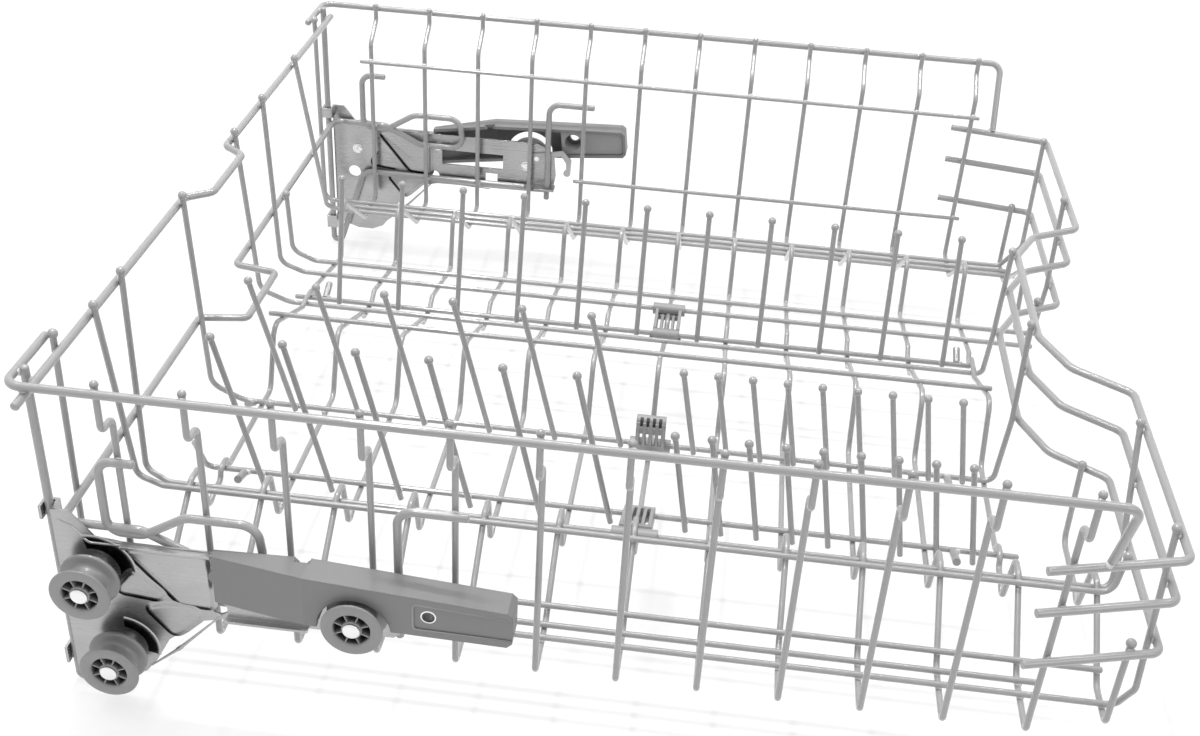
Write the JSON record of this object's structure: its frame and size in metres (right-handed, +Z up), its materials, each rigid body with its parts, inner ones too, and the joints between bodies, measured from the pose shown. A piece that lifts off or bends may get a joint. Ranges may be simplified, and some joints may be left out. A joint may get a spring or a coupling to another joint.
{
  "type": "dishwasher upper rack",
  "caption": "Wire upper rack of a dishwasher with folding tine rows, a recessed front and roller carriages that adjust its height.",
  "frame": {"origin": "middle of the bounding box in plan, on the plane of the lowest point, the bottom bends of the two rear corner posts", "axes": "+X to the front of the rack, +Y to the far side, +Z up"},
  "size_m": [0.5254, 0.536, 0.1885],
  "materials": {
    "wire_coating": "satin grey coating",
    "tine_coating": "satin grey coating, rounded tips",
    "clip_plastic": "moulded",
    "roller_plastic": "moulded, slightly polished by use",
    "lever_plastic": "fine texture",
    "stainless_sheet": "bright stamped sheet",
    "pin_steel": "bright"
  },
  "bodies": {
    "basket": {"near_rim_wire": "wire_coating", "far_rim_wire": "wire_coating", "end_cross_wires": "wire_coating", "rear_cross_wires": "wire_coating", "front_cross_wires": "wire_coating", "end_wires": "wire_coating", "near_floor_wires": "wire_coating", "near_hump_wires": "wire_coating", "middle_base_wire": "wire_coating", "slope_wire": "wire_coating", "far_base_wire": "wire_coating", "far_slope_wires": "wire_coating", "far_floor_wires": "wire_coating", "far_wall_wires": "wire_coating", "front_bar_top": "wire_coating", "front_bar_middle": "wire_coating", "front_bar_low": "wire_coating", "rear_rim_wire": "wire_coating", "guide_wire": "wire_coating", "near_post": "wire_coating", "far_post": "wire_coating", "near_front_hook": "wire_coating", "far_front_hook": "wire_coating", "middle_tall_tines": "tine_coating", "middle_short_tines": "tine_coating", "middle_stop_pins": "tine_coating", "near_clip": "clip_plastic", "middle_clip": "clip_plastic", "far_clip": "clip_plastic"},
    "near_row": {"near_row_axle": "wire_coating", "near_row_tall_tines": "tine_coating", "near_row_short_tines": "tine_coating", "near_row_pins": "tine_coating"},
    "far_row": {"far_row_axle": "wire_coating", "far_row_tines": "tine_coating", "far_row_pins": "tine_coating"},
    "near_carriage": {"near_carriage": "stainless_sheet", "near_axle_pins": "pin_steel", "near_lever_pin": "pin_steel", "near_latch_pin": "pin_steel"},
    "near_upper_roller": {"near_upper_roller": "roller_plastic"},
    "near_lower_roller": {"near_lower_roller": "roller_plastic"},
    "near_front_roller": {"near_front_roller": "roller_plastic"},
    "near_lever": {"near_lever": "lever_plastic"},
    "near_latch": {"near_latch": "stainless_sheet"},
    "far_carriage": {"far_carriage": "stainless_sheet", "far_axle_pins": "pin_steel", "far_lever_pin": "pin_steel", "far_latch_pin": "pin_steel"},
    "far_upper_roller": {"far_upper_roller": "roller_plastic"},
    "far_lower_roller": {"far_lower_roller": "roller_plastic"},
    "far_front_roller": {"far_front_roller": "roller_plastic"},
    "far_lever": {"far_lever": "lever_plastic"},
    "far_latch": {"far_latch": "stainless_sheet"}
  },
  "joints": [
    {"name": "near_row_fold", "type": "hinge", "parent": "basket", "child": "near_row", "pos_m": [-0.00047, -0.1142, 0.04318], "axis": [1, 0, 0], "range_deg": [0, 45]},
    {"name": "far_row_fold", "type": "hinge", "parent": "basket", "child": "far_row", "pos_m": [-0.00047, 0.0608, 0.05458], "axis": [1, 0, 0], "range_deg": [-72, 0]},
    {"name": "near_height", "type": "slide", "parent": "basket", "child": "near_carriage", "axis": [0, 0, 1], "range_m": [0, 0.045]},
    {"name": "near_upper_roll", "type": "hinge", "parent": "near_carriage", "child": "near_upper_roller", "pos_m": [-0.23597, -0.25995, 0.07843], "axis": [0, 1, 0], "continuous": true},
    {"name": "near_lower_roll", "type": "hinge", "parent": "near_carriage", "child": "near_lower_roller", "pos_m": [-0.22798, -0.25995, 0.03143], "axis": [0, 1, 0], "continuous": true},
    {"name": "near_front_roll", "type": "hinge", "parent": "near_carriage", "child": "near_front_roller", "pos_m": [-0.10798, -0.25995, 0.07713], "axis": [0, 1, 0], "continuous": true},
    {"name": "near_release", "type": "hinge", "parent": "near_carriage", "child": "near_lever", "pos_m": [-0.17447, -0.2502, 0.08643], "axis": [0, -1, 0], "range_deg": [0, 6.9]},
    {"name": "near_latch_swing", "type": "hinge", "parent": "near_carriage", "child": "near_latch", "pos_m": [-0.09997, -0.2442, 0.08443], "axis": [0, -1, 0], "range_deg": [0, 6.9]},
    {"name": "far_height", "type": "slide", "parent": "basket", "child": "far_carriage", "axis": [0, 0, 1], "range_m": [0, 0.045]},
    {"name": "far_upper_roll", "type": "hinge", "parent": "far_carriage", "child": "far_upper_roller", "pos_m": [-0.23597, 0.25995, 0.07843], "axis": [0, 1, 0], "continuous": true},
    {"name": "far_lower_roll", "type": "hinge", "parent": "far_carriage", "child": "far_lower_roller", "pos_m": [-0.22798, 0.25995, 0.03143], "axis": [0, 1, 0], "continuous": true},
    {"name": "far_front_roll", "type": "hinge", "parent": "far_carriage", "child": "far_front_roller", "pos_m": [-0.10798, 0.25995, 0.07713], "axis": [0, 1, 0], "continuous": true},
    {"name": "far_release", "type": "hinge", "parent": "far_carriage", "child": "far_lever", "pos_m": [-0.17447, 0.2502, 0.08643], "axis": [0, -1, 0], "range_deg": [-6.9, 0]},
    {"name": "far_latch_swing", "type": "hinge", "parent": "far_carriage", "child": "far_latch", "pos_m": [-0.09997, 0.2442, 0.08443], "axis": [0, -1, 0], "range_deg": [-6.9, 0]}
  ],
  "couplings": [
    {"joint": "near_latch_swing", "follows": "near_release", "ratio": 1},
    {"joint": "far_latch_swing", "follows": "far_release", "ratio": 1}
  ]
}
